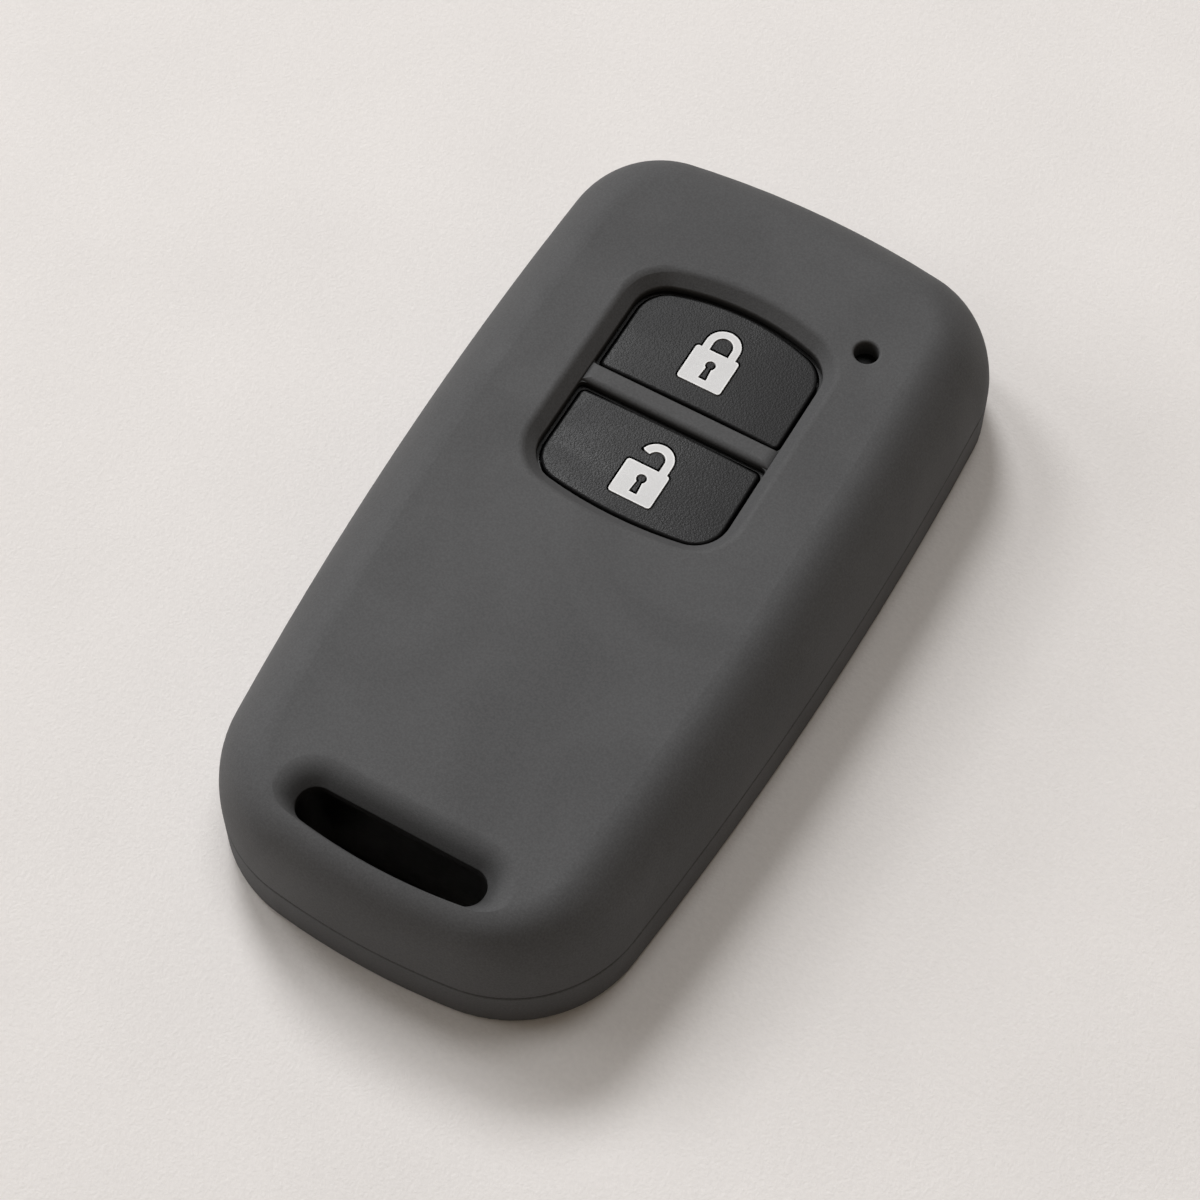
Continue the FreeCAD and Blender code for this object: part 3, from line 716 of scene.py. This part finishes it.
@dataclass
class PadlockSign:
    """Padlock sign let into a button's top: a body with a keyhole, and a shackle."""

    kind: SignKind
    centre_x: float
    low_y: float
    body_width: float = 4.0 * MM
    body_height: float = 3.55 * MM
    body_corner: float = 0.28 * MM
    shackle_radius: float = 1.55 * MM
    shackle_stroke: float = 0.68 * MM
    shackle_rise: float = 0.75 * MM
    shackle_offset: float = 0.0
    open_sweep: float = 164.0
    keyhole_radius: float = 0.45 * MM
    keyhole_height: float = 2.2 * MM
    stem_low: float = 0.71 * MM
    stem_top_width: float = 0.46 * MM
    stem_low_width: float = 0.74 * MM
    leg_overlap: float = 0.3 * MM
    tip_share: float = 0.45
    tip_steps: int = 8
    corner_steps: int = 6
    round_steps: int = 40

    def build(self, name: str, bottom: float, top: float, grow: float = 0.0) -> bpy.types.Object:
        """Models the sign as one solid.

        Args:
            name: The piece's name.
            bottom: Height of its underside.
            top: Height of its face.
            grow: How far its outline stands outside the sign's own.

        Returns:
            The sign's object.
        """
        sign = self.body(name, bottom, top, grow)
        Bench.combine(sign, self.shackle(bottom, top, grow), "UNION")
        Bench.combine(sign, self.keyhole(bottom, top, grow), "DIFFERENCE")
        Bench.heal(sign)
        return sign

    def body(self, name: str, bottom: float, top: float, grow: float) -> bpy.types.Object:
        """Models the padlock's body, a plate with eased corners.

        Args:
            name: The piece's name.
            bottom: Height of its underside.
            top: Height of its face.
            grow: How far its outline stands outside the sign's own.

        Returns:
            The plate's object.
        """
        half = self.body_width / 2 + grow
        low = Vector((self.centre_x - half, self.low_y - grow, bottom))
        high = Vector((self.centre_x + half, self.low_y + self.body_height + grow, top))
        plate = Bench.block(name, low, high)
        half_rise = (top - bottom) / 2
        Bench.pick(plate, "EDGE", lambda edge: abs((edge.verts[0].co - edge.verts[1].co).z) > half_rise)
        bpy.ops.mesh.bevel(offset=self.body_corner + grow, segments=self.corner_steps)
        Bench.clear()
        return plate

    def shackle(self, bottom: float, top: float, grow: float) -> bpy.types.Object:
        """Models the shackle: a flat section spun round its bend, with straight legs.

        Args:
            bottom: Height of its underside.
            top: Height of its face.
            grow: How far its outline stands outside the sign's own.

        Returns:
            The shackle's object.
        """
        stroke = self.shackle_stroke + 2 * grow
        middle = self.shackle_radius - self.shackle_stroke / 2
        centre = Vector((
            self.centre_x + self.shackle_offset,
            self.low_y + self.body_height + self.shackle_rise,
            (bottom + top) / 2,
        ))
        Bench.clear()
        bpy.ops.mesh.primitive_plane_add(size=1.0, location=centre + Vector((middle, 0, 0)))
        bow = bpy.context.active_object
        bow.rotation_euler = (math.pi / 2, 0, 0)
        bow.scale = (stroke, top - bottom, 1.0)
        Bench.seat(bow)
        sweep = 180.0 if self.kind is SignKind.LOCKED else self.open_sweep
        sweep += math.degrees(grow / middle) if self.kind is SignKind.OPEN else 0.0
        bpy.ops.object.mode_set(mode="EDIT")
        bpy.ops.mesh.select_all(action="SELECT")
        bpy.ops.mesh.spin(steps=self.round_steps, angle=math.radians(sweep), center=centre, axis=(0, 0, -1))
        Bench.heal(bow)
        drop = self.shackle_rise + self.leg_overlap

        def is_leg(face: bmesh.types.BMFace) -> bool:
            """Says whether a face is an end that a leg grows from."""
            spot = face.calc_center_median() - centre
            on_right = spot.x > 0 or self.kind is SignKind.LOCKED
            return abs(spot.y) < MERGE_DISTANCE and face.normal.y < -FACING_COSINE and on_right

        Bench.pick(bow, "FACE", is_leg)
        bpy.ops.mesh.extrude_region_move(TRANSFORM_OT_translate={"value": (0, -drop, 0)})
        Bench.heal(bow)
        if self.kind is SignKind.OPEN:
            self.round_tip(bow, centre, math.radians(sweep), stroke)
        return bow

    def round_tip(self, bow: bpy.types.Object, centre: Vector, sweep: float, stroke: float) -> None:
        """Rounds the free end of an open shackle.

        Args:
            bow: The shackle.
            centre: Middle of its bend.
            sweep: Angle of its bend, from the leg to the free end.
            stroke: Width of its section.
        """
        along = Vector((-math.sin(sweep), math.cos(sweep), 0))

        def is_tip(edge: bmesh.types.BMEdge) -> bool:
            """Says whether an edge stands upright at the free end."""
            upright = abs((edge.verts[0].co - edge.verts[1].co).normalized().z) > FACING_COSINE
            end_on = any(abs(face.normal.dot(along)) > FACING_COSINE for face in edge.link_faces)
            spot = (edge.verts[0].co + edge.verts[1].co) / 2 - centre
            at_end = abs(math.atan2(spot.y, spot.x) - sweep) < TURN_TOLERANCE
            return upright and end_on and at_end

        Bench.pick(bow, "EDGE", is_tip)
        bpy.ops.mesh.bevel(offset=stroke * self.tip_share, segments=self.tip_steps)
        Bench.heal(bow)

    def keyhole(self, bottom: float, top: float, grow: float) -> bpy.types.Object:
        """Models the keyhole's cutter: a round hole and a stem that widens downwards.

        Args:
            bottom: Height of the sign's underside.
            top: Height of its face.
            grow: How far the sign's outline stands outside its own, which narrows the hole.

        Returns:
            The cutter's object.
        """
        margin = top - bottom
        eye_y = self.low_y + self.keyhole_height
        Bench.clear()
        bpy.ops.mesh.primitive_cylinder_add(
            vertices=self.round_steps,
            radius=self.keyhole_radius - grow,
            depth=margin * 3,
            location=(self.centre_x, eye_y, (bottom + top) / 2),
        )
        eye = bpy.context.active_object
        Bench.seat(eye)
        half = self.stem_top_width / 2 - grow
        low = Vector((self.centre_x - half, self.low_y + self.stem_low + grow, bottom - margin))
        high = Vector((self.centre_x + half, eye_y, top + margin))
        stem = Bench.block("stem", low, high)
        Bench.pick(stem, "FACE", lambda face: face.normal.y < -FACING_COSINE)
        widen = (self.stem_low_width - 2 * grow) / (self.stem_top_width - 2 * grow)
        bpy.ops.transform.resize(value=(widen, 1.0, 1.0))
        Bench.clear()
        Bench.combine(eye, stem, "UNION")
        return eye


@dataclass
class SignedButton:
    """One push button with its padlock sign let into the top."""

    node: str
    body: str
    sign: PadlockSign
    recess_depth: float = 0.4 * MM
    outline: float = 0.17 * MM
    sign_drop: float = 0.035 * MM
    sign_sink: float = 0.02 * MM

    def build(
        self, cap_finish: bpy.types.Material, outline_and_groove_shade_finish: bpy.types.Material, sign_finish: bpy.types.Material
    ) -> None:
        """Models the cap and the sign and puts them on the button's body.

        Args:
            cap_finish: Material of the cap.
            outline_and_groove_shade_finish: Material of the groove cut round the sign, near-black: the sign's
                dark outline together with painted shade in the groove.
            sign_finish: Material of the sign.
        """
        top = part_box(self.node)[1].z
        floor = top - self.recess_depth
        cap = self.cap()
        Bench.paint(cap, cap_finish)
        cutter = self.sign.build("cutter", floor, top + self.recess_depth, self.outline)
        # The cutter's near-black faces stay in the groove round the sign: a dark outline with painted shade
        # in the groove.
        Bench.paint(cutter, outline_and_groove_shade_finish)
        Bench.combine(cap, cutter, "DIFFERENCE")
        Bench.smooth(cap)
        sign = self.sign.build(f"{self.node}_sign", floor - self.sign_sink, top - self.sign_drop)
        Bench.paint(sign, sign_finish)
        Bench.smooth(sign)
        for piece in (cap, sign):
            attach(piece, self.body)
        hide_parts(self.node)
        LOG.info("button %s with its %s sign", self.node, self.sign.kind.value)

    def cap(self) -> bpy.types.Object:
        """Copies the node's solid as the cap to be cut and returns the copy."""
        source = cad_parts[self.node]
        cap = bpy.data.objects.new(f"{self.node}_cap", source.data.copy())
        bpy.context.scene.collection.objects.link(cap)
        Bench.focus(cap)
        bpy.ops.mesh.customdata_custom_splitnormals_clear()
        Bench.heal(cap)
        return cap


@dataclass
class CoverShell:
    """The moulded cover: its front and rear halves."""

    nodes: tuple[str, ...] = ("front_cover", "rear_cover")

    def dress(self, finish: bpy.types.Material) -> None:
        """Gives both halves the elastomer finish."""
        for name in self.nodes:
            put_on(name, finish)


def put_on(node: str, finish: bpy.types.Material) -> None:
    """Gives a CAD node one finish.

    Args:
        node: The node's name.
        finish: Its material.
    """
    Bench.paint(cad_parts[node], finish)
    LOG.info("node %s in %s", node, finish.name)


@dataclass
class FobInside:
    """The remote inside the cover: housings, seal, switches, board, cell, aerial and lamp."""

    black: Color = (0.008, 0.008, 0.0085)
    steel: Color = (0.60, 0.59, 0.57)

    def finishes(self) -> dict[str, Finish]:
        """Lists the finish of each node.

        Returns:
            Finishes by node name.
        """
        low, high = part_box("coin_cell")
        centre = tuple((low + high) / 2)
        housing = MouldedFinish(
            "fob_plastic", self.black, rub_and_highlight_color=(0.06, 0.06, 0.062),
            roughness=0.42, specular=0.35, grain_scale=2600.0, grain_depth=0.008 * MM,
            rub_and_highlight=0.0,
        )
        plunger = MouldedFinish(
            "plunger_plastic", (0.55, 0.53, 0.48), rub_and_highlight_color=(0.7, 0.7, 0.68),
            roughness=0.45, specular=0.5, grain_scale=4000.0, grain_depth=0.004 * MM,
        )
        body = MouldedFinish(
            "switch_plastic", (0.025, 0.025, 0.027), rub_and_highlight_color=(0.08, 0.08, 0.08),
            roughness=0.5, specular=0.5, grain_scale=5000.0, grain_depth=0.005 * MM,
        )
        strip = MetalFinish(
            "contact_steel", self.steel, tarnish=(0.42, 0.40, 0.36), roughness=0.3,
            line_scale=(9000.0, 300.0, 300.0), line_depth=0.004 * MM,
        )
        return {
            "fob_upper_housing": housing,
            "fob_lower_housing": housing,
            "housing_seal": MouldedFinish(
                "seal_rubber", (0.03, 0.03, 0.032), rub_and_highlight_color=(0.05, 0.05, 0.05),
                roughness=0.7, specular=0.35, grain_scale=2500.0, grain_depth=0.01 * MM,
            ),
            "lock_switch_body": body,
            "unlock_switch_body": body,
            "lock_switch_plunger": plunger,
            "unlock_switch_plunger": plunger,
            "circuit_board": BoardFinish(
                "board_laminate", (0.012, 0.075, 0.035), track_color=(0.03, 0.14, 0.06),
                pad_color=(0.75, 0.62, 0.35), track_scale=260.0, pad_scale=420.0, roughness=0.38,
            ),
            "coin_cell": MetalFinish(
                "cell_steel", self.steel, tarnish=(0.50, 0.48, 0.44), roughness=0.24,
                line_scale=(300.0, 300.0, 6000.0), line_depth=0.003 * MM, centre=centre, rings=True,
            ),
            "positive_contact": strip,
            "negative_contact": strip,
            "controller_chip": MouldedFinish(
                "chip_plastic", (0.018, 0.018, 0.019), rub_and_highlight_color=(0.05, 0.05, 0.05),
                roughness=0.55, specular=0.45, grain_scale=6000.0, grain_depth=0.006 * MM,
            ),
            "crystal": MetalFinish(
                "can_steel", (0.68, 0.67, 0.64), tarnish=(0.5, 0.48, 0.45), roughness=0.26,
                line_scale=(300.0, 7000.0, 300.0), line_depth=0.003 * MM,
            ),
            "antenna_core": MouldedFinish(
                "ferrite", (0.035, 0.033, 0.034), rub_and_highlight_color=(0.10, 0.10, 0.10),
                roughness=0.6, specular=0.5, grain_scale=4500.0, grain_depth=0.02 * MM,
                pebble=0.2,
            ),
            "antenna_winding": WindingFinish(
                "winding_copper", (0.72, 0.32, 0.14), groove_shade_color=(0.16, 0.06, 0.03),
                wire_pitch=0.28 * MM, roughness=0.3,
            ),
            "indicator_lamp": MouldedFinish(
                "lamp_plastic", (0.75, 0.72, 0.62), rub_and_highlight_color=(0.8, 0.8, 0.75),
                roughness=0.35, specular=0.5, grain_scale=5000.0, grain_depth=0.003 * MM,
            ),
            "light_pipe": MouldedFinish(
                "smoked_plastic", (0.004, 0.004, 0.004), rub_and_highlight_color=(0.01, 0.01, 0.01),
                roughness=0.3, specular=0.4, grain_scale=4000.0, grain_depth=0.002 * MM,
            ),
        }

    def dress(self) -> None:
        """Builds each finish once and gives it to its nodes."""
        made: dict[str, bpy.types.Material] = {}
        for node, finish in self.finishes().items():
            if finish.name not in made:
                made[finish.name] = finish.build()
            put_on(node, made[finish.name])


@dataclass(frozen=True)
class SoftLamp:
    """One round softbox, placed by its direction as seen from the object."""

    name: str
    azimuth: float
    elevation: float
    size: float
    power: float
    color: Color = (0.98, 0.99, 1.0)


@dataclass
class Studio:
    """Pale paper floor, soft light and the camera at the photograph's angle."""

    floor_size: float = 3.0
    floor_drop: float = 0.02 * MM
    target: Vector = Vector((0.91, -2.38, 4.65)) * MM
    azimuth: float = 30.02
    elevation: float = 60.93
    distance: float = 266.2 * MM
    lens: float = 98.0
    sensor: float = 36.0
    clip_start: float = 10.0 * MM
    lamp_distance: float = 2.2
    lamps: tuple[SoftLamp, ...] = (
        SoftLamp("back_left", 225.0, 49.0, 0.60, 23.0),
        SoftLamp("left", 255.0, 42.0, 0.60, 12.0),
        SoftLamp("left_low", 285.0, 24.0, 1.26, 12.0),
        SoftLamp("overhead", 180.0, 74.0, 0.72, 9.2),
    )
    sky_zenith: float = 0.14
    sky_horizon: float = 0.28
    sky_color: Color = (1.0, 0.86, 0.70)

    @staticmethod
    def away(azimuth: float, elevation: float, distance: float) -> Vector:
        """Finds a point seen from the origin.

        Args:
            azimuth: Turn from -Y towards +X, in degrees.
            elevation: Rise above the floor, in degrees.
            distance: Distance from the origin.

        Returns:
            The point.
        """
        turn = math.radians(azimuth)
        rise = math.radians(elevation)
        flat = math.cos(rise)
        return Vector((math.sin(turn) * flat, -math.cos(turn) * flat, math.sin(rise))) * distance

    def aim(self, thing: bpy.types.Object, spot: Vector) -> None:
        """Puts a lamp or camera at a spot, looking at the target."""
        thing.location = spot
        thing.rotation_euler = (self.target - spot).to_track_quat("-Z", "Y").to_euler()

    def floor(self) -> None:
        """Lays the paper floor just under the cover."""
        Bench.clear()
        bpy.ops.mesh.primitive_plane_add(size=self.floor_size, location=(0, 0, -self.floor_drop))
        sheet = bpy.context.active_object
        sheet.name = "paper_floor"
        Bench.seat(sheet)
        paper = PaperFinish(
            "paper", (0.795, 0.767, 0.752), fibre_scale=2400.0, fibre_depth=0.035 * MM, unevenness=0.018
        )
        Bench.paint(sheet, paper.build())

    def light(self) -> None:
        """Hangs the soft lamps and lights the surroundings."""
        for lamp in self.lamps:
            data = bpy.data.lights.new(lamp.name, "AREA")
            data.shape = "DISK"
            data.size = lamp.size
            data.energy = lamp.power
            data.color = lamp.color
            holder = bpy.data.objects.new(lamp.name, data)
            bpy.context.scene.collection.objects.link(holder)
            self.aim(holder, self.target + self.away(lamp.azimuth, lamp.elevation, self.lamp_distance))
        self.sky()

    def sky(self) -> None:
        """Lights the surroundings from above, fading towards the horizon."""
        world = bpy.data.worlds.new("studio")
        world.use_nodes = True
        world.node_tree.nodes.clear()
        desk = NodeDesk(world.node_tree)
        ray = desk.add("ShaderNodeTexCoord").outputs["Generated"]
        height = desk.add("ShaderNodeSeparateXYZ", {"Vector": ray}).outputs["Z"]
        strength = desk.spread(height, 0.0, 1.0, self.sky_horizon, self.sky_zenith)
        glow = desk.add("ShaderNodeBackground", {"Color": opaque(self.sky_color), "Strength": strength})
        desk.add("ShaderNodeOutputWorld", {"Surface": glow.outputs["Background"]})
        bpy.context.scene.world = world

    def camera(self) -> None:
        """Sets the camera at the photograph's angle."""
        data = bpy.data.cameras.new("view")
        data.lens = self.lens
        data.sensor_width = self.sensor
        data.clip_start = self.clip_start
        view = bpy.data.objects.new("view", data)
        bpy.context.scene.collection.objects.link(view)
        self.aim(view, self.target + self.away(self.azimuth, self.elevation, self.distance))
        bpy.context.scene.camera = view

    def build(self) -> None:
        """Sets up the floor, the light and the camera."""
        self.floor()
        self.light()
        self.camera()
        bpy.context.scene.view_settings.view_transform = "Standard"
        LOG.info("studio set")


def main() -> None:
    """Builds every piece in order."""
    logging.basicConfig(level=logging.INFO, format="%(message)s")
    # The cover's finish has painted shade round the slot's mouth and low in the button window.
    elastomer = CoverFinishWithPaintedShade(
        "cover_elastomer", (0.0725, 0.0730, 0.0755), rub_and_highlight_color=(0.16, 0.16, 0.162),
        roughness=0.70, specular=0.32, grain_scale=6500.0, grain_depth=0.012 * MM,
        pebble=0.35, fleck=0.12, cloud=0.02, rub_and_highlight=0.0,
    )
    CoverShell().dress(elastomer.build())
    FobInside().dress()
    cap = MouldedFinish(
        "button_plastic", (0.0135, 0.0135, 0.0142), rub_and_highlight_color=(0.11, 0.11, 0.11),
        roughness=0.40, specular=0.205, grain_scale=5800.0, grain_depth=0.0145 * MM,
        pebble=0.9, fleck=0.1, cloud=0.05, rub_and_highlight=0.0,
    )
    # The ink's lighter edges are a painted highlight along the sign's edges.
    ink = MouldedFinish(
        "sign_white", (0.64, 0.64, 0.645), rub_and_highlight_color=(0.92, 0.92, 0.92),
        roughness=0.5, specular=0.4, grain_scale=3500.0, grain_depth=0.004 * MM,
        fleck=0.02, cloud=0.03, rub_and_highlight=2.0, rub_and_highlight_radius=0.3 * MM,
    )
    # Near-black groove round the sign: the sign's dark outline with painted shade in the groove.
    outline_and_groove_shade = MouldedFinish(
        "sign_outline_and_groove_shade", (0.003, 0.003, 0.0032), rub_and_highlight_color=(0.01, 0.01, 0.01),
        roughness=0.6, specular=0.1, grain_scale=5200.0, grain_depth=0.004 * MM,
    )
    cap_material = cap.build()
    outline_and_groove_shade_material = outline_and_groove_shade.build()
    ink_material = ink.build()
    locked = PadlockSign(SignKind.LOCKED, centre_x=-0.21 * MM, low_y=15.51 * MM)
    opened = PadlockSign(
        SignKind.OPEN, centre_x=0.25 * MM, low_y=3.25 * MM, body_width=3.87 * MM, body_height=3.45 * MM,
        shackle_radius=1.5 * MM, shackle_stroke=0.74 * MM, shackle_rise=0.9 * MM, shackle_offset=0.14 * MM,
    )
    SignedButton("lock_button", "lock_button", locked).build(cap_material, outline_and_groove_shade_material, ink_material)
    SignedButton("unlock_button", "unlock_button", opened).build(cap_material, outline_and_groove_shade_material, ink_material)
    Studio().build()


if __name__ == "__main__":
    main()
